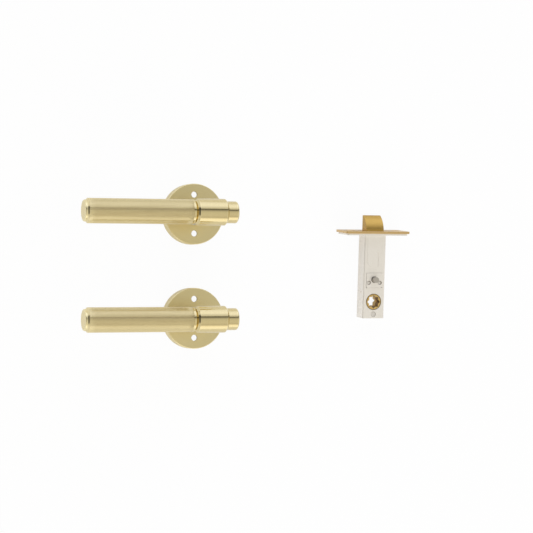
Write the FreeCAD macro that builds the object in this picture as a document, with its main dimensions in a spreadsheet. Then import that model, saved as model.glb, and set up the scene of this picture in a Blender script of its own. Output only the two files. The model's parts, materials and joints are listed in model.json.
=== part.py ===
import FreeCAD, Part
import math
import os

import Sketcher

# Privacy lever set, laid out on a flat surface at z = 0: the outside lever, the inside
# lever and the tubular privacy latch that goes between them in a door.
# Millimetres. X runs along the levers, Y across the set, Z up from the surface.
# Each lever stands on the back of its rose. The latch lies on its broad side and
# rests on the long edge of its faceplate and the tail of its case.

SIZES = {
    # Rose: a round cup with a closed front
    "rose_diameter": 50.0,
    "rose_height": 10.0,
    "rose_front_wall": 2.5,
    "rose_side_wall": 1.5,
    "rose_edge_bevel": 0.5,
    "rose_screw_spacing": 32.0,
    "rose_screw_hole": 5.1,
    "rose_boss_diameter": 22.4,
    "rose_boss_foot": 3.3,
    # Neck and what carries it in the rose
    "neck_diameter": 16.0,
    "journal_diameter": 14.0,
    "journal_foot": 0.5,
    "clip_groove_margin": 0.5,
    "bush_diameter": 18.0,
    "neck_spigot_diameter": 10.0,
    "spindle_square": 8.0,
    "spindle_play": 0.2,
    "spindle_depth": 24.0,
    "running_gap": 0.3,
    "fit_gap": 0.1,
    "grub_diameter": 5.0,
    "grub_length": 3.4,
    "grub_key": 2.5,
    "grub_height": 17.0,
    "grub_sink": 0.3,
    # Circlip, stop washer and return spring
    "circlip_thickness": 1.0,
    "circlip_diameter": 17.6,
    "circlip_groove_depth": 0.8,
    "circlip_opening": 6.0,
    "stop_washer_thickness": 1.2,
    "stop_washer_diameter": 24.0,
    "stop_tab_width": 4.0,
    "stop_tab_reach": 17.0,
    "stop_tab_rise": 1.9,
    "stop_post_diameter": 3.0,
    "stop_post_radius": 15.5,
    "lever_turn": 40.0,
    "return_wire": 1.2,
    "return_coil_diameter": 24.4,
    "return_turns": 2.0,
    # Lever: collar over the neck, grip to one side, button to the other
    "lever_height": 55.0,
    "collar_diameter": 21.5,
    "collar_length": 26.0,
    "collar_bevel": 1.7,
    "grip_diameter": 20.0,
    "grip_length": 85.0,
    "grip_bevel": 1.4,
    "reed_count": 64,
    "reed_depth": 0.45,
    "reed_land": 0.45,
    "ferrule_length": 3.4,
    "ferrule_bevel": 1.7,
    "cap_diameter": 17.4,
    "cap_length": 3.0,
    "cap_rounding": 1.1,
    "button_diameter": 17.7,
    "button_length": 8.8,
    "button_rounding": 1.5,
    "core_diameter": 8.0,
    "core_bite": 6.0,
    "cap_bite": 2.0,
    # Latch faceplate and backing plate
    "faceplate_length": 57.2,
    "faceplate_width": 25.4,
    "faceplate_thickness": 2.0,
    "faceplate_corner": 1.2,
    "backplate_length": 54.0,
    "backplate_width": 23.0,
    "backplate_thickness": 1.5,
    "face_screw_spacing": 41.3,
    "face_screw_hole": 4.8,
    "face_countersink": 8.7,
    # Latch case: a pressed tray and a flat cover
    "case_width": 19.6,
    "case_depth": 13.0,
    "case_sheet": 1.1,
    "case_fold": 1.6,
    "case_tail_gap": 0.9,
    "emboss_rise": 0.3,
    "emboss_side_land": 2.9,
    "emboss_slot_half_width": 3.0,
    "emboss_slot_length": 13.7,
    "emboss_tip_length": 5.8,
    "emboss_tip_bulge": 1.2,
    "emboss_to_privacy": 5.0,
    "dimple_diameter": 3.0,
    "dimple_rise": 0.5,
    "dimple_to_hub": 8.0,
    # Latch bolt and its fork
    "bolt_side_gap": 0.85,
    "bolt_throw": 12.7,
    "bolt_tail": 14.0,
    "bolt_tip_flat": 1.2,
    "bolt_bevel_start": 0.6,
    "bolt_bevel_bulge": 1.9,
    "bolt_travel": 12.0,
    "fork_thickness": 2.0,
    "fork_side_gap": 0.5,
    "fork_bridge": 4.7,
    "fork_leg_gap": 10.4,
    "fork_tongue_width": 8.0,
    "fork_tongue_length": 6.0,
    "fork_foot_length": 2.5,
    "fork_foot_inset": 0.5,
    "fork_foot_lead": 2.5,
    "fork_hub_gap": 0.5,
    "fork_step_gap": 1.5,
    "fork_pin_diameter": 2.5,
    "bolt_spring_wire": 0.8,
    "bolt_spring_diameter": 8.0,
    "bolt_spring_turns": 5.0,
    "spring_stop_to_hub": 24.0,
    "spring_stop_thickness": 1.2,
    # Latch hub
    "backset": 60.0,
    "hub_diameter": 13.0,
    "hub_ring_diameter": 12.3,
    "hub_ring_rise": 0.3,
    "hub_hole": 13.7,
    "hub_wing_reach": 8.2,
    "hub_wing_width": 3.2,
    "hub_wing_angle": 35.0,
    # Privacy plate and plunger, tail rivet
    "privacy_side_land": 2.6,
    "privacy_length": 12.4,
    "privacy_to_hub": 12.0,
    "privacy_corner": 1.2,
    "privacy_rise": 0.4,
    "plunger_to_hub": 18.9,
    "privacy_hole": 5.5,
    "plunger_diameter": 4.8,
    "plunger_proud": 5.0,
    "plunger_tail": 2.0,
    "plunger_collar_diameter": 7.2,
    "plunger_collar_thickness": 1.0,
    "pilot_hole": 3.5,
    "pilot_to_hub": 16.2,
    "pilot_spacing": 9.9,
    "rivet_diameter": 4.2,
    "rivet_hole": 4.5,
    "rivet_to_case_end": 3.5,
    "rivet_sink": 0.3,
    # Layout of the three units
    "lever_spacing": 85.7,
    "latch_offset": 157.0,
}

doc = FreeCAD.newDocument("privacy_lever_set")
sheet = doc.addObject("Spreadsheet::Sheet", "Sizes")


class Size:
    """A number together with the sheet expression that gives it."""

    def __init__(self, value, text):
        self.value = value
        self.text = text

    def _join(self, other, sign, result):
        other = size_of(other)
        return Size(result(self.value, other.value), f"({self.text} {sign} {other.text})")

    def __add__(self, other):
        return self._join(other, "+", lambda a, b: a + b)

    def __sub__(self, other):
        return self._join(other, "-", lambda a, b: a - b)

    def __mul__(self, other):
        return self._join(other, "*", lambda a, b: a * b)

    def __truediv__(self, other):
        return self._join(other, "/", lambda a, b: a / b)

    def __neg__(self):
        return Size(-self.value, f"(0 - {self.text})")

    def __rsub__(self, other):
        return size_of(other) - self

    __radd__ = __add__
    __rmul__ = __mul__

    def __float__(self):
        return float(self.value)


def size_of(number):
    """The number as a Size, plain numbers included."""
    if isinstance(number, Size):
        return number
    return Size(float(number), repr(float(number)))


# Cutters run this far past the faces that they cut
OVERRUN = 1.0

# Sides of a spring wire's section, and the straight runs in one turn of each spring
WIRE_SIDES = 8
RETURN_SPRING_RUNS = 24
BOLT_SPRING_RUNS = 14

# Short bevels that make up the rounded rim of a cap or button
RIM_BEVELS = 3


class Names:
    """The driving sizes, each under its own name."""


dim = Names()
for row, (name, value) in enumerate(SIZES.items(), start=1):
    sheet.set(f"A{row}", name)
    sheet.set(f"B{row}", str(value))
    sheet.setAlias(f"B{row}", name)
    setattr(dim, name, Size(float(value), f"Sizes.{name}"))
doc.recompute()


def bind(item, prop, number):
    """Set one property of an object and tie it to the sheet."""
    number = size_of(number)
    item.setExpression(prop, number.text)


def place(item, x=0, y=0, z=0):
    """Tie the object's position to the sheet."""
    for letter, number in (("x", x), ("y", y), ("z", z)):
        bind(item, f"Placement.Base.{letter}", number)


TURN_TO = {
    "Z": FreeCAD.Rotation(),
    "X": FreeCAD.Rotation(FreeCAD.Vector(0, 1, 0), 90),
    "Y": FreeCAD.Rotation(FreeCAD.Vector(1, 0, 0), -90),
}


def rod(name, radius, length, x=0, y=0, z=0, along="Z"):
    """A plain cylinder that starts at (x, y, z) and runs along one axis."""
    item = doc.addObject("Part::Cylinder", name)
    item.Placement.Rotation = TURN_TO[along]
    bind(item, "Radius", radius)
    bind(item, "Height", length)
    place(item, x, y, z)
    return item


def cone(name, first_radius, last_radius, length, x=0, y=0, z=0, along="Z"):
    """A cut-off cone that starts at (x, y, z) and runs along one axis."""
    item = doc.addObject("Part::Cone", name)
    item.Placement.Rotation = TURN_TO[along]
    bind(item, "Radius1", first_radius)
    bind(item, "Radius2", last_radius)
    bind(item, "Height", length)
    place(item, x, y, z)
    return item


def block(name, x, y, z):
    """A box, from three pairs of lowest and highest coordinate."""
    item = doc.addObject("Part::Box", name)
    bind(item, "Length", x[1] - size_of(x[0]))
    bind(item, "Width", y[1] - size_of(y[0]))
    bind(item, "Height", z[1] - size_of(z[0]))
    place(item, x[0], y[0], z[0])
    return item


def centred_block(name, width, y, z):
    """A box that is centred on x = 0."""
    return block(name, (-size_of(width) / 2, size_of(width) / 2), y, z)


def cut(name, base, tool):
    item = doc.addObject("Part::Cut", name)
    item.Base = base
    item.Tool = tool
    return item


def fuse(name, *shapes):
    item = doc.addObject("Part::MultiFuse", name)
    item.Shapes = list(shapes)
    item.Refine = True
    return item


def common(name, *shapes):
    item = doc.addObject("Part::MultiCommon", name)
    item.Shapes = list(shapes)
    return item


def origin_plane(body, role):
    for feature in body.Origin.OriginFeatures:
        if feature.Role == role:
            return feature
    raise ValueError(role)


def new_sketch(body, role, name):
    sketch = body.newObject("Sketcher::SketchObject", name)
    sketch.AttachmentSupport = [(origin_plane(body, role), "")]
    sketch.MapMode = "FlatFace"
    return sketch


def draw_loop(sketch, points):
    """A closed loop of straight lines whose corners are tied to the sheet."""
    corners = [(size_of(a), size_of(b)) for a, b in points]
    first = sketch.GeometryCount
    ends = corners[1:] + corners[:1]
    for start, end in zip(corners, ends):
        line = Part.LineSegment(
            FreeCAD.Vector(start[0].value, start[1].value, 0),
            FreeCAD.Vector(end[0].value, end[1].value, 0),
        )
        sketch.addGeometry(line, False)
    for i in range(len(corners)):
        after = first + (i + 1) % len(corners)
        sketch.addConstraint(Sketcher.Constraint("Coincident", first + i, 2, after, 1))
    for i, corner in enumerate(corners):
        for kind, axis, number in (("DistanceX", -2, corner[0]), ("DistanceY", -1, corner[1])):
            if number.value == 0:
                sketch.addConstraint(Sketcher.Constraint("PointOnObject", first + i, 1, axis))
                continue
            index = sketch.addConstraint(
                Sketcher.Constraint(kind, -1, 1, first + i, 1, number.value)
            )
            bind(sketch, f"Constraints[{index}]", number)


def turned(name, points, axis):
    """A turned piece: a closed half section revolved about the section's own axis."""
    body = doc.addObject("PartDesign::Body", name)
    sketch = new_sketch(body, "XZ_Plane", f"{name}_section")
    draw_loop(sketch, points)
    revolution = body.newObject("PartDesign::Revolution", f"{name}_turned")
    revolution.Profile = sketch
    revolution.ReferenceAxis = (sketch, [axis])
    revolution.Angle = 360
    sketch.Visibility = False
    return body


def padded(name, role, length, symmetric=False):
    """A new body with an empty sketch and the pad that follows it."""
    body = doc.addObject("PartDesign::Body", name)
    sketch = new_sketch(body, role, f"{name}_outline")
    pad = body.newObject("PartDesign::Pad", f"{name}_pad")
    pad.Profile = sketch
    bind(pad, "Length", length)
    pad.Midplane = symmetric
    return body, sketch


def rounded(body, radius, chosen, name):
    """Round the edges of a body that a test picks out."""
    doc.recompute()
    base = body.Tip
    edges = [f"Edge{i}" for i, edge in enumerate(base.Shape.Edges, 1) if chosen(edge)]
    if not edges:
        raise ValueError(f"no edge to round on {name}")
    fillet = body.newObject("PartDesign::Fillet", name)
    fillet.Base = (base, edges)
    bind(fillet, "Radius", radius)


def polar(radius, degrees, height=0.0):
    """A point at a distance from the Z axis, turned from +X, at a height."""
    angle = math.radians(degrees)
    return FreeCAD.Vector(radius * math.cos(angle), radius * math.sin(angle), height)


def bulged(start, end, bulge):
    """An arc from start to end whose middle stands out to the left of the way there."""
    chord = end - start
    sideways = FreeCAD.Vector(-chord.y, chord.x, 0).normalize()
    return Part.Arc(start, (start + end) * 0.5 + sideways * bulge, end)


def coil(radius, wire, start, end, turns, runs_per_turn):
    """A wire wound about Z in short straight runs, with an eight-sided section."""
    runs = round(turns * runs_per_turn)
    stations = []
    for i in range(runs + 1):
        share = i / runs
        stations.append(polar(radius, 360 * turns * share, start + (end - start) * share))
    ahead = (stations[1] - stations[0]).normalize()
    aside = ahead.cross(FreeCAD.Vector(0, 0, 1)).normalize()
    upward = aside.cross(ahead)
    corners = []
    for i in range(WIRE_SIDES):
        corner = polar(wire / 2, 360 * (i + 0.5) / WIRE_SIDES)
        corners.append(stations[0] + aside * corner.x + upward * corner.y)
    section = Part.makePolygon(corners + corners[:1])
    mitred = 1
    return Part.makePolygon(stations).makePipeShell([section], True, False, mitred)


# Places that the pieces of a lever share
rose_radius = dim.rose_diameter / 2
journal_radius = dim.journal_diameter / 2
collar_radius = dim.collar_diameter / 2
core_radius = dim.core_diameter / 2
web_underside = dim.rose_height - dim.rose_front_wall
neck_foot = dim.rose_height + dim.running_gap
circlip_level = dim.journal_foot + dim.clip_groove_margin
washer_level = circlip_level + dim.circlip_thickness + dim.fit_gap
washer_top = washer_level + dim.stop_washer_thickness
collar_end = dim.collar_length / 2
grip_end = -collar_end - dim.ferrule_length
cap_seat = grip_end - dim.grip_length
lever_tip = cap_seat - dim.cap_length

# The stop tab turns between two posts of the rose, centred on the +X side
TAB_REST_ANGLE = -float(dim.lever_turn) / 2
TAB_CLEARANCE = math.degrees(
    math.asin(
        (float(dim.stop_tab_width) + float(dim.stop_post_diameter) + 2 * float(dim.running_gap))
        / (2 * float(dim.stop_post_radius))
    )
)


def rose(unit):
    """Round cup: closed front, boss for the neck, two screw holes and two stop posts."""
    bevel = dim.rose_edge_bevel
    bore = dim.bush_diameter / 2
    boss = dim.rose_boss_diameter / 2
    cavity = rose_radius - dim.rose_side_wall
    body = turned(
        f"{unit}_rose_cup",
        [
            (rose_radius, 0),
            (rose_radius, dim.rose_height - bevel),
            (rose_radius - bevel, dim.rose_height),
            (bore, dim.rose_height),
            (bore, dim.rose_boss_foot),
            (boss, dim.rose_boss_foot),
            (boss, web_underside),
            (cavity, web_underside),
            (cavity, 0),
        ],
        "V_Axis",
    )
    holes = [
        rod(
            f"{unit}_rose_hole_{side}",
            dim.rose_screw_hole / 2,
            dim.rose_front_wall + OVERRUN * 2,
            y=dim.rose_screw_spacing / 2 * sign,
            z=web_underside - OVERRUN,
        )
        for side, sign in (("top", 1), ("bottom", -1))
    ]
    posts = []
    for side, angle in (
        ("rest", TAB_REST_ANGLE - TAB_CLEARANCE),
        ("end", TAB_REST_ANGLE + float(dim.lever_turn) + TAB_CLEARANCE),
    ):
        spot = polar(1.0, angle)
        posts.append(
            rod(
                f"{unit}_rose_post_{side}",
                dim.stop_post_diameter / 2,
                dim.rose_height - dim.rose_front_wall / 2 - washer_level,
                x=dim.stop_post_radius * spot.x,
                y=dim.stop_post_radius * spot.y,
                z=washer_level,
            )
        )
    cup = fuse(f"{unit}_rose_cup_and_posts", body, *posts)
    return cut(f"{unit}_rose", cup, fuse(f"{unit}_rose_holes", *holes))


def neck_bush(unit):
    """Plain bush pressed into the rose, in which the neck turns."""
    length = dim.rose_height - dim.rose_boss_foot
    outside = rod(f"{unit}_bush_blank", dim.bush_diameter / 2, length, z=dim.rose_boss_foot)
    inside = rod(
        f"{unit}_bush_bore",
        journal_radius + dim.running_gap / 2,
        length + OVERRUN * 2,
        z=dim.rose_boss_foot - OVERRUN,
    )
    return cut(f"{unit}_neck_bush", outside, inside)


def neck(unit):
    """Turned neck: journal, coped shoulder under the collar, spigot and square socket."""
    journal = rod(
        f"{unit}_journal",
        journal_radius,
        neck_foot - dim.journal_foot,
        z=dim.journal_foot,
    )
    shoulder = rod(
        f"{unit}_shoulder",
        dim.neck_diameter / 2,
        dim.lever_height - neck_foot,
        z=neck_foot,
    )
    saddle = rod(
        f"{unit}_saddle",
        collar_radius,
        dim.collar_length,
        x=-dim.collar_length / 2,
        z=dim.lever_height,
        along="X",
    )
    spigot = rod(
        f"{unit}_spigot",
        dim.neck_spigot_diameter / 2,
        dim.lever_height - core_radius - dim.running_gap - neck_foot,
        z=neck_foot,
    )
    solid = fuse(
        f"{unit}_neck_solid", journal, cut(f"{unit}_coped", shoulder, saddle), spigot
    )
    side = dim.spindle_square + dim.spindle_play
    socket = block(
        f"{unit}_socket",
        (-side / 2, side / 2),
        (-side / 2, side / 2),
        (dim.journal_foot - OVERRUN, dim.journal_foot + dim.spindle_depth),
    )
    groove = cut(
        f"{unit}_clip_groove",
        rod(
            f"{unit}_groove_outside",
            journal_radius + OVERRUN,
            dim.circlip_thickness + dim.fit_gap,
            z=circlip_level,
        ),
        rod(
            f"{unit}_groove_floor",
            journal_radius - dim.circlip_groove_depth,
            dim.circlip_thickness + OVERRUN * 2,
            z=circlip_level - OVERRUN,
        ),
    )
    grub_hole = rod(
        f"{unit}_grub_hole",
        dim.grub_diameter / 2 + dim.fit_gap,
        dim.neck_diameter / 2 + OVERRUN,
        y=-dim.neck_diameter / 2 - OVERRUN,
        z=dim.grub_height,
        along="Y",
    )
    return cut(
        f"{unit}_neck", solid, fuse(f"{unit}_neck_cuts", socket, groove, grub_hole)
    )


def grub_screw(unit):
    """Short socket screw that holds the spindle in the neck."""
    start = -dim.neck_diameter / 2 + dim.grub_sink
    blank = rod(
        f"{unit}_grub_blank",
        dim.grub_diameter / 2,
        dim.grub_length,
        y=start,
        z=dim.grub_height,
        along="Y",
    )
    key = doc.addObject("Part::Prism", f"{unit}_grub_key")
    key.Polygon = 6
    key.Placement.Rotation = TURN_TO["Y"]
    bind(key, "Circumradius", dim.grub_key / math.sqrt(3))
    bind(key, "Height", dim.grub_length)
    place(key, 0, start - dim.grub_length / 2, dim.grub_height)
    return cut(f"{unit}_grub_screw", blank, key)


def stop_washer(unit):
    """Washer on the journal, with a turned-up tab that meets the posts."""
    ring = rod(
        f"{unit}_washer_blank",
        dim.stop_washer_diameter / 2,
        dim.stop_washer_thickness,
        z=washer_level,
    )
    half = dim.stop_tab_width / 2
    arm = block(
        f"{unit}_washer_arm",
        (journal_radius, dim.stop_tab_reach),
        (-half, half),
        (washer_level, washer_top),
    )
    lug = block(
        f"{unit}_washer_lug",
        (dim.stop_tab_reach - dim.stop_post_diameter, dim.stop_tab_reach),
        (-half, half),
        (washer_level, washer_top + dim.stop_tab_rise),
    )
    bore = rod(
        f"{unit}_washer_bore",
        journal_radius + dim.fit_gap / 2,
        dim.stop_washer_thickness + OVERRUN * 2,
        z=washer_level - OVERRUN,
    )
    return cut(f"{unit}_stop_washer", fuse(f"{unit}_washer_plate", ring, arm, lug), bore)


def circlip(unit):
    """Open spring ring in the groove of the journal."""
    ring = rod(
        f"{unit}_circlip_blank",
        dim.circlip_diameter / 2,
        dim.circlip_thickness,
        z=circlip_level + dim.fit_gap / 2,
    )
    bore = rod(
        f"{unit}_circlip_bore",
        journal_radius - dim.circlip_groove_depth + dim.fit_gap / 2,
        dim.circlip_thickness + OVERRUN * 2,
        z=circlip_level - OVERRUN,
    )
    opening = block(
        f"{unit}_circlip_opening",
        (0, dim.circlip_diameter),
        (-dim.circlip_opening / 2, dim.circlip_opening / 2),
        (circlip_level - OVERRUN, circlip_level + dim.circlip_thickness + OVERRUN),
    )
    return cut(f"{unit}_circlip", ring, fuse(f"{unit}_circlip_cuts", bore, opening))


def return_spring(unit):
    """Torsion spring round the boss: one leg on a post, the other on the stop tab."""
    wire = float(dim.return_wire)
    radius = float(dim.return_coil_diameter) / 2
    gap = float(dim.running_gap)
    low = float(washer_top) + wire / 2 + gap
    high = float(web_underside) - wire / 2 - gap
    turns = float(dim.return_turns)
    post = float(dim.stop_post_diameter) / 2
    post_side = math.degrees(math.asin((post + wire / 2 + gap / 2) / float(dim.stop_post_radius)))
    tab_side = math.degrees(
        math.asin(
            (float(dim.stop_tab_width) / 2 + wire / 2 + gap / 2) / float(dim.stop_post_radius)
        )
    )
    moving_angle = TAB_REST_ANGLE + tab_side
    fixed_angle = TAB_REST_ANGLE - TAB_CLEARANCE - post_side
    sweep = turns + (fixed_angle - moving_angle) / 360.0
    shape = coil(radius, wire, low, high, sweep, RETURN_SPRING_RUNS)
    shape.rotate(FreeCAD.Vector(), FreeCAD.Vector(0, 0, 1), moving_angle)
    leg = float(dim.stop_tab_reach) - radius
    for angle, level in ((moving_angle, low), (fixed_angle, high)):
        shape = shape.fuse(
            Part.makeCylinder(wire / 2, leg, polar(radius, angle, level), polar(1.0, angle))
        )
    item = doc.addObject("Part::Feature", f"{unit}_return_spring")
    item.Shape = shape
    return item


def collar(unit):
    """Round collar over the neck, bevelled at both ends and bored for the core rod."""
    bevel = dim.collar_bevel
    bore = core_radius + dim.fit_gap
    blank = turned(
        f"{unit}_collar_blank",
        [
            (-collar_end, bore),
            (-collar_end, collar_radius - bevel),
            (-collar_end + bevel, collar_radius),
            (collar_end - bevel, collar_radius),
            (collar_end, collar_radius - bevel),
            (collar_end, bore),
        ],
        "H_Axis",
    )
    place(blank, z=dim.lever_height)
    socket = rod(
        f"{unit}_collar_socket",
        dim.neck_spigot_diameter / 2 + dim.fit_gap / 2,
        collar_radius,
        z=dim.lever_height - collar_radius,
    )
    return cut(f"{unit}_collar", blank, socket)


def grip(unit):
    """Reeded grip: straight reeds all round, a turned bevel at its far end, core bore."""
    count = int(dim.reed_count.value)
    crest = float(dim.grip_diameter) / 2
    root = crest - float(dim.reed_depth)
    land = float(dim.reed_land) / crest / 2
    pitch = 2 * math.pi / count
    corners = []
    for i in range(count):
        for radius, angle in ((root, -pitch / 2), (crest, -land), (crest, land)):
            turn = i * pitch + angle
            corners.append(
                FreeCAD.Vector(radius * math.cos(turn), radius * math.sin(turn), 0)
            )
    body, sketch = padded(f"{unit}_reeds", "YZ_Plane", dim.grip_length)
    ends = corners[1:] + corners[:1]
    sketch.addGeometry([Part.LineSegment(a, b) for a, b in zip(corners, ends)], False)
    place(body, x=cap_seat, z=dim.lever_height)
    bevel = dim.grip_bevel
    outside = dim.grip_diameter / 2 + OVERRUN
    bore = core_radius + dim.fit_gap
    envelope = turned(
        f"{unit}_grip_envelope",
        [
            (0, bore),
            (0, dim.grip_diameter / 2 - bevel),
            (bevel + OVERRUN, outside),
            (dim.grip_length, outside),
            (dim.grip_length, bore),
        ],
        "H_Axis",
    )
    place(envelope, x=cap_seat, z=dim.lever_height)
    return common(f"{unit}_grip", body, envelope)


def ferrule(unit):
    """Plain polished ring between the grip and the collar, bevelled to a narrow neck."""
    radius = dim.grip_diameter / 2
    bore = core_radius + dim.fit_gap
    body = turned(
        f"{unit}_ferrule",
        [
            (grip_end, bore),
            (grip_end, radius),
            (-collar_end - dim.ferrule_bevel, radius),
            (-collar_end, radius - dim.ferrule_bevel),
            (-collar_end, bore),
        ],
        "H_Axis",
    )
    place(body, z=dim.lever_height)
    return body


def blind_end(name, seat, direction, radius, length, bite, rounding):
    """A round end piece with a blind bore for the core rod and a rim turned in short bevels."""
    bore = core_radius + dim.fit_gap
    outer = seat + length * direction
    floor = seat + (bite + dim.fit_gap) * direction
    rim = []
    for i in range(RIM_BEVELS + 1):
        angle = math.pi / 2 * i / RIM_BEVELS
        along = outer - rounding * direction * (1 - math.sin(angle))
        rim.append((along, radius - rounding * (1 - math.cos(angle))))
    body = turned(
        name,
        [(seat, bore), (seat, radius), *rim, (outer, 0), (floor, 0), (floor, bore)],
        "H_Axis",
    )
    place(body, z=dim.lever_height)
    return body


def grip_cap(unit):
    """Plain cap that closes the far end of the grip."""
    return blind_end(
        f"{unit}_grip_cap",
        cap_seat,
        -1,
        dim.cap_diameter / 2,
        dim.cap_length,
        dim.cap_bite,
        dim.cap_rounding,
    )


def end_button(unit):
    """Plain button on the other end of the collar."""
    return blind_end(
        f"{unit}_end_button",
        collar_end,
        1,
        dim.button_diameter / 2,
        dim.button_length,
        dim.core_bite,
        dim.button_rounding,
    )


def core_rod(unit):
    """Rod that ties cap, grip, ferrule, collar and button together."""
    start = cap_seat - dim.cap_bite
    return rod(
        f"{unit}_core_rod",
        core_radius,
        collar_end + dim.core_bite - start,
        x=start,
        z=dim.lever_height,
        along="X",
    )


LEVER_PIECES = (
    rose,
    neck_bush,
    neck,
    grub_screw,
    stop_washer,
    circlip,
    return_spring,
    collar,
    grip,
    ferrule,
    grip_cap,
    end_button,
    core_rod,
)

# Places that the pieces of the latch share. In the latch's own frame X runs across
# its width, Y runs out of the door edge and Z is the side that the photograph shows.
# Y = 0 is the outer face of the faceplate.
case_half_width = dim.case_width / 2
case_half_depth = dim.case_depth / 2
inner_half_width = case_half_width - dim.case_sheet
inner_half_depth = case_half_depth - dim.case_sheet
plate_stack = dim.faceplate_thickness + dim.backplate_thickness
fork_foot_reach = dim.backset - dim.fork_foot_lead + dim.fork_foot_length
case_reach = fork_foot_reach + dim.bolt_travel + dim.case_tail_gap + dim.case_sheet
rivet_place = -case_reach + dim.rivet_to_case_end
privacy_half_width = case_half_width - dim.privacy_side_land
privacy_end = dim.backset - dim.privacy_to_hub
privacy_start = privacy_end - dim.privacy_length
plunger_place = -dim.backset + dim.plunger_to_hub
bolt_half_width = inner_half_width - dim.bolt_side_gap
bolt_half_depth = inner_half_depth - dim.running_gap
bolt_depth = bolt_half_depth * 2
fork_half_width = inner_half_width - dim.fork_side_gap
fork_foot_half_depth = bolt_half_depth - dim.fork_foot_inset
fork_narrow_gap = dim.hub_diameter / 2 + dim.fork_hub_gap
fork_bridge_start = -dim.bolt_tail - dim.running_gap
fork_bridge_end = fork_bridge_start - dim.fork_bridge
fork_leg_step = -dim.backset + dim.hub_diameter / 2 + dim.bolt_travel + dim.fork_step_gap
fork_foot_start = -dim.backset + dim.fork_foot_lead
fork_foot_end = -fork_foot_reach
spring_stop_face = -dim.backset + dim.spring_stop_to_hub


def rounded_plate(name, length, width, thickness, start):
    """A flat plate across the latch with four rounded corners."""
    body, sketch = padded(name, "XZ_Plane", thickness)
    draw_loop(
        sketch,
        [
            (-length / 2, -width / 2),
            (length / 2, -width / 2),
            (length / 2, width / 2),
            (-length / 2, width / 2),
        ],
    )
    rounded(body, dim.faceplate_corner, runs_along("y"), f"{name}_corners")
    place(body, y=start)
    return body


def runs_along(letter):
    """Test for a straight edge along one axis."""

    def test(edge):
        if not isinstance(edge.Curve, Part.Line):
            return False
        return abs(abs(getattr(edge.Curve.Direction, letter)) - 1) < 1e-6

    return test


def bolt_opening(name, y):
    """Cutter for the window that the bolt slides through."""
    half = bolt_half_depth + dim.running_gap
    return centred_block(name, (bolt_half_width + dim.running_gap) * 2, y, (-half, half))


def faceplate():
    """Brass faceplate with the bolt's window and two countersunk screw holes."""
    plate = rounded_plate(
        "latch_faceplate_blank",
        dim.faceplate_length,
        dim.faceplate_width,
        dim.faceplate_thickness,
        0,
    )
    tools = [bolt_opening("latch_faceplate_window", (-plate_stack, OVERRUN))]
    sink_depth = (dim.face_countersink - dim.face_screw_hole) / 2
    for side, sign in (("left", -1), ("right", 1)):
        x = dim.face_screw_spacing / 2 * sign
        tools.append(
            rod(
                f"latch_face_hole_{side}",
                dim.face_screw_hole / 2,
                plate_stack + OVERRUN * 2,
                x=x,
                y=-plate_stack - OVERRUN,
                along="Y",
            )
        )
        tools.append(
            cone(
                f"latch_face_sink_{side}",
                dim.face_screw_hole / 2,
                dim.face_countersink / 2,
                sink_depth,
                x=x,
                y=-sink_depth,
                along="Y",
            )
        )
    return cut("latch_faceplate", plate, fuse("latch_faceplate_cuts", *tools))


def backplate():
    """Steel backing plate behind the faceplate."""
    plate = rounded_plate(
        "latch_backplate_blank",
        dim.backplate_length,
        dim.backplate_width,
        dim.backplate_thickness,
        -dim.faceplate_thickness,
    )
    tools = [bolt_opening("latch_backplate_window", (-plate_stack - OVERRUN, 0))]
    for side, sign in (("left", -1), ("right", 1)):
        tools.append(
            rod(
                f"latch_back_hole_{side}",
                dim.face_screw_hole / 2,
                plate_stack + OVERRUN * 2,
                x=dim.face_screw_spacing / 2 * sign,
                y=-plate_stack - OVERRUN,
                along="Y",
            )
        )
    return cut("latch_backplate", plate, fuse("latch_backplate_cuts", *tools))


def fork_emboss():
    """Shallow fork-shaped pad pressed into the front of the case."""
    half = float(case_half_width - dim.emboss_side_land)
    slot = float(dim.emboss_slot_half_width)
    level = float(case_half_depth) - float(dim.case_sheet) / 2
    rise = float(dim.case_sheet) / 2 + float(dim.emboss_rise)
    top = -float(plate_stack)
    end = float(dim.emboss_to_privacy) - float(privacy_start)
    shoulder = end + float(dim.emboss_tip_length)
    spring_line = end + float(dim.emboss_slot_length) - slot
    bulge = float(dim.emboss_tip_bulge)

    def spot(x, y):
        return FreeCAD.Vector(x, y, level)

    arch = Part.Arc(spot(-slot, spring_line), spot(0, spring_line + slot), spot(slot, spring_line))
    edges = [
        Part.LineSegment(spot(-half, top), spot(half, top)).toShape(),
        Part.LineSegment(spot(half, top), spot(half, shoulder)).toShape(),
        bulged(spot(slot, end), spot(half, shoulder), -bulge).toShape(),
        Part.LineSegment(spot(slot, end), spot(slot, spring_line)).toShape(),
        arch.toShape(),
        Part.LineSegment(spot(-slot, spring_line), spot(-slot, end)).toShape(),
        bulged(spot(-slot, end), spot(-half, shoulder), bulge).toShape(),
        Part.LineSegment(spot(-half, shoulder), spot(-half, top)).toShape(),
    ]
    wire = Part.Wire(Part.__sortEdges__(edges))
    item = doc.addObject("Part::Feature", "latch_case_emboss")
    item.Shape = Part.Face(wire).extrude(FreeCAD.Vector(0, 0, rise))
    return item


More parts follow.
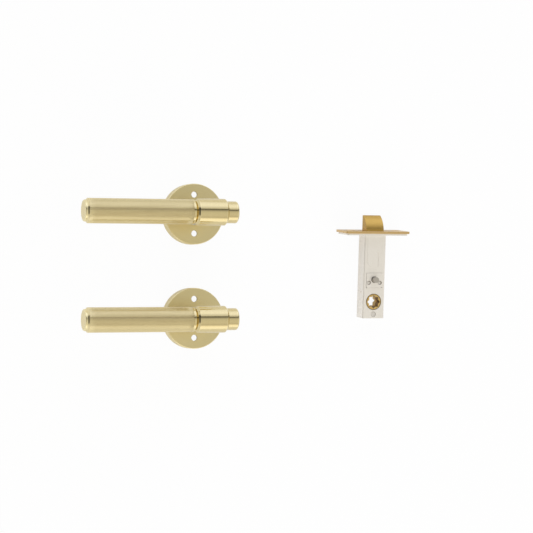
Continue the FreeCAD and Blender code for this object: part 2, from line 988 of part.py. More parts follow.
def case_front():
    """Pressed tray of the case: front, two sides and tail, with its holes and marks."""
    body, sketch = padded("latch_case_blank", "XZ_Plane", case_reach - plate_stack)
    draw_loop(
        sketch,
        [
            (-case_half_width, -case_half_depth),
            (case_half_width, -case_half_depth),
            (case_half_width, case_half_depth),
            (-case_half_width, case_half_depth),
        ],
    )

    def front_long_edge(edge):
        return runs_along("y")(edge) and edge.CenterOfMass.z > 0

    rounded(body, dim.case_fold, front_long_edge, "latch_case_folds")
    place(body, y=-plate_stack)
    dimples = [
        rod(
            f"latch_case_dimple_{side}",
            dim.dimple_diameter / 2,
            dim.dimple_rise + dim.case_sheet / 2,
            x=start,
            y=-dim.backset + dim.dimple_to_hub,
            along="X",
        )
        for side, start in (
            ("left", -case_half_width - dim.dimple_rise),
            ("right", case_half_width - dim.case_sheet / 2),
        )
    ]
    hollow = centred_block(
        "latch_case_hollow",
        inner_half_width * 2,
        (-case_reach + dim.case_sheet, 0),
        (-case_half_depth - OVERRUN, inner_half_depth),
    )
    window = centred_block(
        "latch_case_window",
        (privacy_half_width + dim.fit_gap) * 2,
        (-privacy_end - dim.fit_gap, -privacy_start + dim.fit_gap),
        (0, case_half_depth + dim.emboss_rise + OVERRUN),
    )
    hub_hole = rod("latch_case_hub_hole", dim.hub_hole / 2, dim.case_depth, y=-dim.backset)
    rivet_hole = rod(
        "latch_case_rivet_hole", dim.rivet_hole / 2, dim.case_depth, y=rivet_place
    )
    solid = fuse("latch_case_solid", body, fork_emboss(), *dimples)
    return cut(
        "latch_case_front",
        solid,
        fuse("latch_case_cuts", hollow, window, hub_hole, rivet_hole),
    )


def case_rear():
    """Flat cover of the case, between the tray's sides."""
    plate = centred_block(
        "latch_cover_blank",
        (inner_half_width - dim.fit_gap) * 2,
        (-case_reach + dim.case_sheet + dim.fit_gap, -plate_stack),
        (-case_half_depth, -inner_half_depth),
    )
    hub_hole = rod(
        "latch_cover_hub_hole",
        dim.hub_hole / 2,
        dim.case_depth,
        y=-dim.backset,
        z=-dim.case_depth,
    )
    rivet_hole = rod(
        "latch_cover_rivet_hole",
        dim.rivet_hole / 2,
        dim.case_depth,
        y=rivet_place,
        z=-dim.case_depth,
    )
    return cut("latch_case_rear", plate, fuse("latch_cover_cuts", hub_hole, rivet_hole))


def tail_rivet():
    """Rivet that holds the two halves of the case at its tail."""
    return rod(
        "latch_tail_rivet",
        dim.rivet_diameter / 2,
        dim.case_depth - dim.rivet_sink,
        y=rivet_place,
        z=-case_half_depth,
    )


def privacy_plate():
    """Small plate set in the front of the case round the privacy plunger."""
    body, sketch = padded("latch_privacy_blank", "XY_Plane", dim.case_sheet + dim.privacy_rise)
    draw_loop(
        sketch,
        [
            (-privacy_half_width, -privacy_end),
            (privacy_half_width, -privacy_end),
            (privacy_half_width, -privacy_start),
            (-privacy_half_width, -privacy_start),
        ],
    )
    middle = -(float(privacy_end) + float(privacy_start)) / 2

    def tail_corner(edge):
        return runs_along("z")(edge) and edge.CenterOfMass.y < middle

    rounded(body, dim.privacy_corner, tail_corner, "latch_privacy_corners")
    place(body, z=inner_half_depth)
    holes = [
        rod(
            "latch_privacy_hole",
            dim.privacy_hole / 2,
            dim.case_depth,
            y=plunger_place,
        )
    ]
    for side, sign in (("left", -1), ("right", 1)):
        holes.append(
            rod(
                f"latch_pilot_hole_{side}",
                dim.pilot_hole / 2,
                dim.case_depth,
                x=dim.pilot_spacing / 2 * sign,
                y=-dim.backset + dim.pilot_to_hub,
            )
        )
    return cut("latch_privacy_plate", body, fuse("latch_privacy_cuts", *holes))


def privacy_plunger():
    """Push pin of the privacy lock, kept in by a collar under the plate."""
    pin = rod(
        "latch_plunger_pin",
        dim.plunger_diameter / 2,
        case_half_depth + dim.plunger_proud + dim.plunger_tail,
        y=plunger_place,
        z=-dim.plunger_tail,
    )
    ring = rod(
        "latch_plunger_collar",
        dim.plunger_collar_diameter / 2,
        dim.plunger_collar_thickness,
        y=plunger_place,
        z=inner_half_depth - dim.fit_gap - dim.plunger_collar_thickness,
    )
    return fuse("latch_privacy_plunger", pin, ring)


def bolt():
    """Bevelled spring bolt: rounded bevel on the front side, slot for the fork behind."""
    half = float(bolt_half_depth)
    tip = float(dim.bolt_throw)
    tail = -float(dim.bolt_tail)
    flat = float(dim.bolt_tip_flat)
    start = float(dim.bolt_bevel_start)
    bulge = float(dim.bolt_bevel_bulge)
    body, sketch = padded("latch_bolt_blank", "YZ_Plane", bolt_half_width * 2, symmetric=True)

    def spot(y, z):
        return FreeCAD.Vector(y, z, 0)

    low_end = spot(tip, -half + flat)
    high_end = spot(start, half)
    sketch.addGeometry(
        [
            Part.LineSegment(spot(tail, -half), spot(tip, -half)),
            Part.LineSegment(spot(tip, -half), low_end),
            bulged(low_end, high_end, -bulge),
            Part.LineSegment(high_end, spot(tail, half)),
            Part.LineSegment(spot(tail, half), spot(tail, -half)),
        ],
        False,
    )
    slot_half = dim.fork_thickness / 2 + dim.running_gap
    slot = centred_block(
        "latch_bolt_slot",
        dim.fork_tongue_width + dim.running_gap * 2,
        (-dim.bolt_tail - OVERRUN, -dim.bolt_tail + dim.fork_tongue_length + dim.running_gap),
        (-slot_half, slot_half),
    )
    return cut(
        "latch_bolt", body, fuse("latch_bolt_cuts", slot, fork_pin_hole("latch_bolt_pin_hole"))
    )


def fork_pin_hole(name):
    """Cutter for the pin that ties bolt and fork."""
    return rod(
        name,
        dim.fork_pin_diameter / 2 + dim.fit_gap / 2,
        bolt_depth + OVERRUN * 2,
        y=-dim.bolt_tail + dim.fork_tongue_length / 2,
        z=-bolt_half_depth - OVERRUN,
    )


def fork_pin():
    """Pin through the bolt and the fork's tongue."""
    return rod(
        "latch_fork_pin",
        dim.fork_pin_diameter / 2,
        bolt_depth,
        y=-dim.bolt_tail + dim.fork_tongue_length / 2,
        z=-bolt_half_depth,
    )


def fork():
    """Stamped fork behind the bolt: its two legs pass the plunger and the hub."""
    body, sketch = padded("latch_fork_plate", "XY_Plane", dim.fork_thickness, symmetric=True)
    tongue = dim.fork_tongue_width / 2
    tongue_end = -dim.bolt_tail + dim.fork_tongue_length
    gap = dim.fork_leg_gap / 2
    right_side = [
        (tongue, tongue_end),
        (tongue, fork_bridge_start),
        (fork_half_width, fork_bridge_start),
        (fork_half_width, fork_foot_end),
        (fork_narrow_gap, fork_foot_end),
        (fork_narrow_gap, fork_leg_step),
        (gap, fork_leg_step),
        (gap, fork_bridge_end),
    ]
    left_side = [(-size_of(x), y) for x, y in reversed(right_side)]
    draw_loop(sketch, right_side + left_side)
    feet = []
    for side, x in (
        ("left", (-fork_half_width, -fork_narrow_gap)),
        ("right", (fork_narrow_gap, fork_half_width)),
    ):
        feet.append(
            block(
                f"latch_fork_foot_{side}",
                x,
                (fork_foot_end, fork_foot_start),
                (-fork_foot_half_depth, fork_foot_half_depth),
            )
        )
    solid = fuse("latch_fork_solid", body, *feet)
    return cut("latch_fork", solid, fork_pin_hole("latch_fork_pin_hole"))


def spring_stop():
    """Fixed plate in the case that the bolt's spring pushes against."""
    half = inner_half_depth
    return centred_block(
        "latch_spring_stop",
        dim.fork_leg_gap - dim.running_gap * 3,
        (spring_stop_face - dim.spring_stop_thickness, spring_stop_face),
        (-half, half),
    )


def bolt_spring():
    """Compression spring between the fork's bridge and the fixed stop."""
    wire = float(dim.bolt_spring_wire)
    gap = float(dim.fit_gap)
    start = float(spring_stop_face) + wire / 2 + gap
    end = float(fork_bridge_end) - wire / 2 - gap
    radius = (float(dim.bolt_spring_diameter) - wire) / 2
    shape = coil(radius, wire, 0, end - start, float(dim.bolt_spring_turns), BOLT_SPRING_RUNS)
    shape.rotate(FreeCAD.Vector(), FreeCAD.Vector(1, 0, 0), -90)
    shape.translate(FreeCAD.Vector(0, start, 0))
    item = doc.addObject("Part::Feature", "latch_bolt_spring")
    item.Shape = shape
    return item


def hub():
    """Turned hub with a double square socket and two wings, in two layers, for the fork."""
    core = rod(
        "latch_hub_core",
        dim.hub_diameter / 2,
        dim.case_depth - dim.running_gap * 2,
        y=-dim.backset,
        z=-case_half_depth + dim.running_gap,
    )
    ring = rod(
        "latch_hub_ring",
        dim.hub_ring_diameter / 2,
        case_half_depth + dim.hub_ring_rise,
        y=-dim.backset,
    )
    layer_start = dim.fork_thickness / 2 + dim.running_gap * 2
    wing_thickness = fork_foot_half_depth - layer_start
    wings = []
    for side, angle in (("right", dim.hub_wing_angle), ("left", 180 - dim.hub_wing_angle)):
        for layer, low in (
            ("front", layer_start),
            ("rear", -layer_start - wing_thickness),
        ):
            wing = doc.addObject("Part::Box", f"latch_wing_{side}_{layer}")
            bind(wing, "Length", dim.hub_wing_reach)
            bind(wing, "Width", dim.hub_wing_width)
            bind(wing, "Height", wing_thickness)
            turn = FreeCAD.Rotation(FreeCAD.Vector(0, 0, 1), float(angle))
            corner = turn.multVec(FreeCAD.Vector(0, -float(dim.hub_wing_width) / 2, 0))
            wing.Placement = FreeCAD.Placement(
                corner + FreeCAD.Vector(0, -float(dim.backset), float(low)), turn
            )
            wings.append(wing)
    solid = fuse("latch_hub_solid", core, ring, *wings)
    side_length = float(dim.spindle_square) + float(dim.spindle_play)
    squares = []
    for i in range(2):
        square = doc.addObject("Part::Box", f"latch_hub_square_{i + 1}")
        bind(square, "Length", dim.spindle_square + dim.spindle_play)
        bind(square, "Width", dim.spindle_square + dim.spindle_play)
        bind(square, "Height", dim.case_depth * 2)
        turn = FreeCAD.Rotation(FreeCAD.Vector(0, 0, 1), 45 * i)
        corner = turn.multVec(FreeCAD.Vector(-side_length / 2, -side_length / 2, 0))
        square.Placement = FreeCAD.Placement(
            corner + FreeCAD.Vector(0, -float(dim.backset), -float(dim.case_depth)), turn
        )
        squares.append(square)
    return cut("latch_hub", solid, fuse("latch_hub_socket", *squares))


LATCH_PIECES = (
    faceplate,
    backplate,
    case_front,
    case_rear,
    tail_rivet,
    privacy_plate,
    privacy_plunger,
    bolt,
    fork_pin,
    fork,
    spring_stop,
    bolt_spring,
    hub,
)

# The set is centred on the origin: X from the levers' tips to the faceplate's end
rose_x = (-float(lever_tip) - float(dim.latch_offset) - float(dim.faceplate_length) / 2) / 2
latch_x = rose_x + float(dim.latch_offset)

# The latch leans on the rear edge of its faceplate and on the tail of its case
drop = float(dim.faceplate_width) / 2 - float(case_half_depth)
run = float(case_reach) - float(dim.faceplate_thickness)
tilt = math.atan2(drop, run)
rest_height = (
    float(dim.faceplate_width) / 2 * math.cos(tilt)
    + float(dim.faceplate_thickness) * math.sin(tilt)
)
tip_y = float(dim.bolt_throw) * math.cos(tilt) + float(bolt_half_depth) * math.sin(tilt)
tail_y = -float(case_reach) * math.cos(tilt) - float(case_half_depth) * math.sin(tilt)
latch_place = FreeCAD.Placement(
    FreeCAD.Vector(latch_x, -(tip_y + tail_y) / 2, rest_height),
    FreeCAD.Rotation(FreeCAD.Vector(1, 0, 0), math.degrees(tilt)),
)


def settle(item, where):
    """Move a finished sub-part from its own frame to its place in the set."""
    doc.recompute()
    for prop, _ in item.ExpressionEngine:
        if prop.lstrip(".").startswith("Placement"):
            item.setExpression(prop, None)
    item.Placement = where.multiply(item.Placement)
    item.Label = item.Name
    return item


nodes = []
for unit, side in (("outside", 1), ("inside", -1)):
    where = FreeCAD.Placement(
        FreeCAD.Vector(rose_x, side * float(dim.lever_spacing) / 2, 0), FreeCAD.Rotation()
    )
    for piece in LEVER_PIECES:
        item = piece(unit)
        if piece is stop_washer:
            item.Placement.Rotation = FreeCAD.Rotation(FreeCAD.Vector(0, 0, 1), TAB_REST_ANGLE)
        nodes.append(settle(item, where))
for piece in LATCH_PIECES:
    nodes.append(settle(piece(), latch_place))
doc.recompute()

for item in doc.Objects:
    bad = {"Invalid", "Error"} & set(item.State)
    if bad:
        raise RuntimeError(f"{item.Label} is {bad}")
for item in nodes:
    shape = item.Shape
    if shape.isNull() or not shape.isValid() or not shape.Solids:
        raise RuntimeError(f"{item.Label} has no valid solid")

os.makedirs("parts", exist_ok=True)
for item in nodes:
    item.Shape.exportStep(f"parts/{item.Label}.step")
    box = item.Shape.BoundBox
    print(
        f"{item.Label}: {len(item.Shape.Solids)} solid, {item.Shape.Volume:.1f} mm3, "
        f"x {box.XMin:.2f} {box.XMax:.2f}, y {box.YMin:.2f} {box.YMax:.2f}, "
        f"z {box.ZMin:.2f} {box.ZMax:.2f}"
    )
print(f"latch tilt {math.degrees(tilt):.3f} degrees, rose x {rose_x:.2f}, latch x {latch_x:.2f}")
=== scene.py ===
import json
import math

import bmesh
import bpy
import numpy as np
from mathutils import Matrix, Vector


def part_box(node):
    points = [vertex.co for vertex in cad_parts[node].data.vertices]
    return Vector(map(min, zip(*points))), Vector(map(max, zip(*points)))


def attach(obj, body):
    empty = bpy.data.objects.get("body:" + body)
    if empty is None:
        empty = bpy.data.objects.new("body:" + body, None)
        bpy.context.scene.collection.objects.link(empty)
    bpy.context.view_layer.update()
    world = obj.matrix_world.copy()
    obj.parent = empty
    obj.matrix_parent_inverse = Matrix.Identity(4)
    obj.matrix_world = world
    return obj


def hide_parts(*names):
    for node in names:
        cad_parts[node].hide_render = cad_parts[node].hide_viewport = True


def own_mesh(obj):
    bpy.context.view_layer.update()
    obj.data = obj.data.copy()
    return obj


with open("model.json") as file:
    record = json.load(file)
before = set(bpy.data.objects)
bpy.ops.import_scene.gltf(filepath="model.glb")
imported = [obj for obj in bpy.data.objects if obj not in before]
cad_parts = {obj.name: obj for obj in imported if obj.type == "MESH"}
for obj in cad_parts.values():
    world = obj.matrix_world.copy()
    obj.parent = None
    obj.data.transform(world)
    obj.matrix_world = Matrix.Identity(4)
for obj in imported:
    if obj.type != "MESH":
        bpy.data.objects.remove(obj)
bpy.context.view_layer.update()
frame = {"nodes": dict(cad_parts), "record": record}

# The set lies on z = 0: two reeded bar levers on round roses, grips to -X, and the
# tubular latch to +X with its bolt towards +Y. Metres throughout.
MM = 0.001
UNITS = ("outside", "inside")


def axis_of(node):
    """(y, z) of the middle of a turned bar piece."""
    low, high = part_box(node)
    return (low[1] + high[1]) / 2, (low[2] + high[2]) / 2


def span(node):
    """(lowest x, highest x, radius) of a turned bar piece."""
    low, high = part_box(node)
    return low[0], high[0], (high[1] - low[1]) / 2


def middle_of(node, way):
    """The middle of a CAD node's box along one axis: 0 for x, 1 for y."""
    return sum(corner[way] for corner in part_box(node)) / 2


LEVER_Y, LEVER_Z = axis_of("outside_grip")
ROSE_X = middle_of("outside_rose", 0)
LATCH_X = middle_of("latch_faceplate", 0)
HUB_Y = middle_of("latch_hub", 1)
CASE_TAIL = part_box("latch_case_front")[0][1]
CASE_MOUTH, CASE_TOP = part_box("latch_case_front")[1][1:]
# The latch lies with its bolt end lifted by this slope
LATCH_SLOPE = math.tan(math.radians(4.922))


# Shader graphs and finishes


class Value:
    """A shader socket. Arithmetic on it adds Math nodes to the same graph."""

    def __init__(self, graph, socket):
        self.graph = graph
        self.socket = socket

    def _math(self, operation, *terms):
        return self.graph.node("ShaderNodeMath", {"operation": operation}, *terms)

    def __add__(self, other):
        return self._math("ADD", self, other)

    def __sub__(self, other):
        return self._math("SUBTRACT", self, other)

    def __rsub__(self, other):
        return self._math("SUBTRACT", other, self)

    def __mul__(self, other):
        return self._math("MULTIPLY", self, other)

    def __truediv__(self, other):
        return self._math("DIVIDE", self, other)

    def __pow__(self, other):
        return self._math("POWER", self, other)

    def __abs__(self):
        return self._math("ABSOLUTE", self)

    def clamp(self):
        return self.graph.node("ShaderNodeClamp", {}, self)

    __radd__ = __add__


class Graph:
    """The shader nodes of one material or world."""

    def __init__(self, owner, output):
        owner.use_nodes = True
        self.tree = owner.node_tree
        self.tree.nodes.clear()
        self.output = self.tree.nodes.new(output)

    def node(self, kind, settings=None, *inputs, out=0, **named):
        """Add a node: settings first, then values or links by order or by name."""
        made = self.tree.nodes.new(kind)
        for key, setting in (settings or {}).items():
            if key == "stops":
                self._set_stops(made.color_ramp, setting)
            else:
                setattr(made, key, setting)
        by_name = [(made.inputs[key.replace("_", " ")], named[key]) for key in named]
        for socket, value in list(zip(made.inputs, inputs)) + by_name:
            if isinstance(value, Value):
                self.tree.links.new(value.socket, socket)
            elif value is not None:
                socket.default_value = value
        return Value(self, made.outputs[out])

    @staticmethod
    def _set_stops(ramp, stops):
        """Give a colour ramp (position, RGBA) stops, in rising order."""
        while len(ramp.elements) < len(stops):
            ramp.elements.new(1.0)
        for element, (position, color) in zip(ramp.elements, stops):
            element.position = position
            element.color = color

    def parts(self, vector):
        """The x, y and z of a vector."""
        apart = self.node("ShaderNodeSeparateXYZ", {}, vector).socket.node
        return [Value(self, socket) for socket in apart.outputs]

    def joined(self, x, y, z):
        return self.node("ShaderNodeCombineXYZ", {}, x, y, z)

    def blend(self, factor, low, high):
        """Colour from low to high as factor goes from 0 to 1."""
        # The mix node has five sockets for other kinds of value before its colours
        others = [None] * 5
        return self.node(
            "ShaderNodeMix", {"data_type": "RGBA"}, factor, *others, low, high, out=2
        )

    def show(self, shader):
        """Make a shader the graph's surface."""
        self.tree.links.new(shader.socket, self.output.inputs["Surface"])


# Where the painted shade in the latch's openings goes from none, at the first number, to
# full, at the second:
# at two depths below the shown face, out from the middle, and near the tail and mouth
SHADE_BELOW = (0.3 * MM, 1.2 * MM)
SHADE_ABOVE = (8.0 * MM, 6.5 * MM)
SHADE_ACROSS = (9.1 * MM, 8.9 * MM)
SHADE_TAIL = (CASE_TAIL + 1.4 * MM, CASE_TAIL + 1.6 * MM)
SHADE_MOUTH = (CASE_MOUTH - 1.6 * MM, CASE_MOUTH - 2 * MM)


class Finish(Graph):
    """One procedural material with a Principled shader."""

    def __init__(self, name, **constants):
        self.material = bpy.data.materials.new(name)
        super().__init__(self.material, "ShaderNodeOutputMaterial")
        shader = self.node("ShaderNodeBsdfPrincipled", **constants)
        self.show(shader)
        self.shader = shader.socket.node
        self.place = self.node("ShaderNodeTexCoord", out="Object")
        self.x, self.y, self.z = self.parts(self.place)

    def feed(self, socket, value):
        self.tree.links.new(value.socket, self.shader.inputs[socket])

    def noise(self, vector, scale, detail, roughness=0.5):
        return self.node(
            "ShaderNodeTexNoise",
            Vector=vector,
            Scale=scale,
            Detail=detail,
            Roughness=roughness,
        )

    def bump(self, height, distance):
        """Bump of a height field; distance in metres."""
        return self.node("ShaderNodeBump", Height=height, Distance=distance)

    def noted(self, name):
        """The number that the mesh keeps for each vertex under this name."""
        return self.node("ShaderNodeAttribute", {"attribute_name": name}, out="Fac")

    def step(self, value, start, end):
        """0 up to start and 1 from end on, straight between, also where start > end."""
        return ((value - start) / (end - start)).clamp()

    def from_bar(self):
        """Distance from the lever's long axis, the same for both levers."""
        across = abs(self.y) - abs(LEVER_Y)
        above = self.z - LEVER_Z
        return (across * across + above * above) ** 0.5

    def from_rose(self):
        """Distance from the axis through a rose, the same for both levers."""
        along = self.x - ROSE_X
        across = abs(self.y) - abs(LEVER_Y)
        return (along * along + across * across) ** 0.5

    def painted_shade_in_case(self):
        """Where shade is painted: 1 on the walls of openings in the shown face and just
        inside the case.
        """
        depth = CASE_TOP - self.z + (self.y - CASE_MOUTH) * LATCH_SLOPE
        sunk = self.step(depth, *SHADE_BELOW) * self.step(depth, *SHADE_ABOVE)
        within = self.step(abs(self.x - LATCH_X), *SHADE_ACROSS)
        return (
            sunk
            * within
            * self.step(self.y, *SHADE_TAIL)
            * self.step(self.y, *SHADE_MOUTH)
        )


def rgb(red, green, blue):
    """An sRGB colour, 0 to 255, as linear RGBA."""
    linear = []
    for level in (red, green, blue):
        part = level / 255
        linear.append(
            part / 12.92 if part <= 0.04045 else ((part + 0.055) / 1.055) ** 2.4
        )
    return (*linear, 1.0)


# Grain units per metre along the path of the tool on turned work
SLOW_GRAIN = 25.0


def along_x(coarse, fine):
    """Straight brushing along X."""
    return lambda f: f.joined(f.x * coarse, f.y * fine, f.z * fine)


def along_y(coarse, fine):
    """Straight brushing along Y."""
    return lambda f: f.joined(f.x * fine, f.y * coarse, f.z * fine)


def round_bar(fine):
    """Turning marks round the lever's long axis: rings by place along it and radius."""
    return lambda f: f.joined(f.x * fine, f.from_bar() * fine, f.z * SLOW_GRAIN)


def round_rose(fine):
    """Turning marks round the rose: rings by radius and by height."""
    return lambda f: f.joined(f.from_rose() * fine, f.z * fine, f.x * SLOW_GRAIN)


def speckled(fine):
    """Even fine speckle, as on blasted or plated metal."""
    return lambda f: f.joined(f.x * fine, f.y * fine, f.z * fine)


# How much the tool's grain, the cloud of handling marks and rubbed corners say in the
# colour, how much grain and cloud say in the gloss, and how much corners gain in gloss
GRAIN_TONE, CLOUD_TONE, RUB_TONE = 0.7, 0.3, 0.4
GRAIN_SHEEN, CLOUD_SHEEN = 0.6, 0.4
RUB_SHEEN = 0.08
CLOUD_SCALE = 45.0
# How far the painted shade in the latch's openings goes towards its dark colour
SHADE_COVER = 0.85


def metal(
    name, dark, light, lines, roughness, spread, depth, metallic=1.0, inner=None
):
    """Worked metal: the lines left by the tool move colour, gloss and bump.

    lines takes the finish and gives the place, in grain units, at which the noise is
    read; it is drawn out along the tool's path. spread is how far the roughness swings,
    depth the bump's height in metres. A broad cloud adds handling marks, and rubbed
    corners come out paler and glossier. inner is the colour of painted shade on the
    walls of the latch's openings and just inside its case.
    """
    finish = Finish(name, Metallic=metallic)
    grain = finish.noise(lines(finish), 1.0, 3.0, 0.6)
    cloud = finish.noise(finish.place, CLOUD_SCALE, 3.0)
    rub = finish.noted("rub")
    tone = (grain * GRAIN_TONE + cloud * CLOUD_TONE + rub * RUB_TONE).clamp()
    color = finish.blend(tone, dark, light)
    # Painted shade: the openings' walls and the inside of the case darken towards inner
    if inner is not None:
        color = finish.blend(finish.painted_shade_in_case() * SHADE_COVER, color, inner)
    finish.feed("Base Color", color)
    swing = (grain * GRAIN_SHEEN + cloud * CLOUD_SHEEN) * spread
    sheen = roughness - spread / 2 + swing
    finish.feed("Roughness", (sheen - rub * RUB_SHEEN).clamp())
    finish.feed("Normal", finish.bump(grain, depth))
    return finish


BRASS_DARK = rgb(208, 191, 138)
BRASS_LIGHT = rgb(234, 219, 171)
# Painted shade: the colour the reed valleys darken to
SHADED_VALLEY_BRASS = rgb(166, 142, 88)
# inner, where given, is the dark colour of painted shade in the latch's openings
METALS = {
    "satin_brass": dict(
        dark=rgb(222, 205, 150), light=rgb(243, 230, 182),
        lines=round_rose(3000.0), roughness=0.34, spread=0.1, depth=0.5e-6,
    ),
    "turned_brass": dict(
        dark=BRASS_DARK, light=BRASS_LIGHT,
        lines=round_bar(3500.0), roughness=0.17, spread=0.06, depth=0.2e-6,
    ),
    "polished_brass": dict(
        dark=BRASS_DARK, light=BRASS_LIGHT,
        lines=round_bar(5000.0), roughness=0.14, spread=0.06, depth=0.15e-6,
    ),
    "faceplate_brass": dict(
        dark=rgb(206, 172, 116), light=rgb(228, 198, 144),
        lines=along_x(150.0, 6000.0), roughness=0.28, spread=0.1, depth=0.4e-6,
    ),
    "bolt_brass": dict(
        dark=rgb(188, 150, 72), light=rgb(218, 184, 108),
        lines=along_x(250.0, 7000.0), roughness=0.36, spread=0.12, depth=1.0e-6,
    ),
    "hub_brass": dict(
        dark=rgb(214, 180, 108), light=rgb(230, 200, 134), inner=rgb(120, 84, 34),
        lines=speckled(5000.0), roughness=0.3, spread=0.1, depth=0.6e-6,
    ),
    "nickel_steel": dict(
        dark=rgb(240, 233, 222), light=rgb(255, 253, 248), inner=rgb(58, 50, 44),
        lines=along_y(200.0, 5000.0), roughness=0.36, spread=0.14, depth=0.6e-6,
        metallic=0.6,
    ),
    "plunger_steel": dict(
        dark=rgb(178, 172, 164), light=rgb(212, 208, 201),
        lines=along_x(300.0, 6000.0), roughness=0.34, spread=0.12, depth=0.6e-6,
    ),
    "zinc_steel": dict(
        dark=rgb(180, 180, 178), light=rgb(210, 210, 206),
        lines=speckled(2500.0), roughness=0.4, spread=0.12, depth=0.6e-6,
    ),
    "spring_steel": dict(
        dark=rgb(96, 96, 98), light=rgb(146, 146, 146),
        lines=speckled(2500.0), roughness=0.3, spread=0.1, depth=0.4e-6,
    ),
}
finishes = {name: metal(name, **look) for name, look in METALS.items()}


# How much paler the reeds' crests are, their roughness and its swing, and how much
# duller the valleys are
REED_PALER = 0.35
REED_ROUGHNESS = 0.16
REED_SPREAD = 0.06
VALLEY_DULLER = 0.2


def reeded_brass():
    """Brass cut into straight reeds: pale rubbed crests, painted shade that darkens the
    valleys to olive, fine lengthwise tool lines. How deep a place lies in its reed comes
    with the mesh."""
    finish = Finish("reeded_brass", Metallic=1.0)
    grain = finish.noise(along_x(40.0, 5000.0)(finish), 1.0, 2.0)
    valley = finish.noted("valley")
    rub = finish.noted("rub")
    tone = (grain * GRAIN_TONE + REED_PALER + rub * RUB_TONE).clamp()
    crests = finish.blend(tone, BRASS_DARK, BRASS_LIGHT)
    # Painted shade: the deeper a place lies in its reed, the nearer its colour comes to
    # the dark valley brass
    finish.feed("Base Color", finish.blend(valley, crests, SHADED_VALLEY_BRASS))
    sheen = REED_ROUGHNESS + valley * VALLEY_DULLER + grain * REED_SPREAD
    finish.feed("Roughness", (sheen - rub * REED_SPREAD).clamp())
    finish.feed("Normal", finish.bump(grain, 0.2e-6))
    return finish


def moulded(name, dark, light):
    """Moulded plastic: faint mottle and a fine eggshell bump."""
    finish = Finish(name, Metallic=0.0, IOR=1.5)
    mottle = finish.noise(finish.place, 900.0, 3.0)
    finish.feed("Base Color", finish.blend(mottle, dark, light))
    finish.feed("Roughness", 0.42 + mottle * 0.12)
    finish.feed("Normal", finish.bump(mottle, 4e-6))
    return finish


finishes["reeded_brass"] = reeded_brass()
finishes["bush_nylon"] = moulded("bush_nylon", rgb(205, 202, 192), rgb(228, 226, 218))

SLOT_OF = {part["node"]: part["material_slot"] for part in frame["record"]["subparts"]}
for node, item in frame["nodes"].items():
    item.data.materials.clear()
    item.data.materials.append(finishes[SLOT_OF[node]].material)


# Meshes and pieces


def placed(name, data):
    """A new object in the scene, not moved or turned."""
    item = bpy.data.objects.new(name, data)
    bpy.context.collection.objects.link(item)
    return item


def stand_in(mesh, node, body):
    """The mesh becomes the piece that shows instead of a CAD node."""
    piece = placed(f"{node}_finished", mesh)
    mesh.materials.append(finishes[SLOT_OF[node]].material)
    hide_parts(node)
    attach(piece, body)
    return piece


def smooth_mesh(name, places, faces, sharp=None):
    """A smooth mesh, with edges sharper than the angle (in degrees) left crisp."""
    mesh = bpy.data.meshes.new(name)
    mesh.from_pydata(places.tolist(), [], faces)
    mesh.shade_smooth()
    if sharp is not None:
        mesh.set_sharp_from_angle(angle=math.radians(sharp))
    return mesh


def note(mesh, name, values):
    """Keep one number for each vertex, for the finish to read."""
    mesh.attributes.new(name, "FLOAT", "POINT").data.foreach_set("value", values)


def grid_faces(rows, around):
    """Vertex numbers row by row, and the quads between rows, closed once round."""
    here = np.arange(rows * around).reshape(rows, around)
    nearby = np.roll(here, -1, axis=1)
    quads = np.stack([here[:-1], nearby[:-1], nearby[1:], here[1:]], axis=-1)
    return here, quads.reshape(-1, 4).tolist()


def closed_faces(rows, around):
    """Faces of a grid that a pole closes at each end; the poles are numbered last."""
    here, quads = grid_faces(rows, around)
    top, bottom = (np.full(around, here.size + pole) for pole in (0, 1))
    first = np.stack([top, np.roll(here[0], -1), here[0]], axis=-1)
    last = np.stack([bottom, here[-1], np.roll(here[-1], -1)], axis=-1)
    return quads + first.tolist() + last.tolist()


# Finely turned pieces of the bars

# Corners of a profile are rounded in this many steps, and well-rounded ones in more
ROUND_STEPS = 5
FULL_STEPS = 9
SUPPORT = 0.5 * MM
AROUND = 160

REEDS = 64
REED_DEPTH = 0.45 * MM
REED_POWER = 8
COLUMNS_PER_REED = 10
CREST = span("outside_grip")[2]
# The photograph shows the reeds starting this much nearer to the tip than the solid's
GRIP_LEAD = 1.2 * MM
GRIP_BEVEL = 1.4 * MM
GRIP_BEVEL_STEPS = 12
GRIP_BEVEL_RUB = 0.8
GRIP_LENGTH_STEPS = 18
GRIP_END_BEVEL = 0.15 * MM
# Rings on the grip's two faces, this far in from where the bevel or the rim starts
TIP_FACE_RING = 0.6 * MM
END_FACE_RING = 1.2 * MM
# The valleys' painted shade starts this far past the tip and ends this far before the end
VALLEY_START = 1.01 * GRIP_BEVEL
VALLEY_STOP = 0.1 * MM

COLLAR_RADIUS = 10.75 * MM
BAR_BEVEL = 1.7 * MM
# Radii that round the corners of each profile, from its tip side on
CAP_ROUNDING = (1.1 * MM, 0.05 * MM)
FERRULE_ROUNDING = (0.12 * MM, 0.25 * MM, 0.1 * MM)
COLLAR_ROUNDING = (0.1 * MM, 0.25 * MM, 0.25 * MM, 0.1 * MM)
BUTTON_ROUNDING = (0.1 * MM, 1.5 * MM)


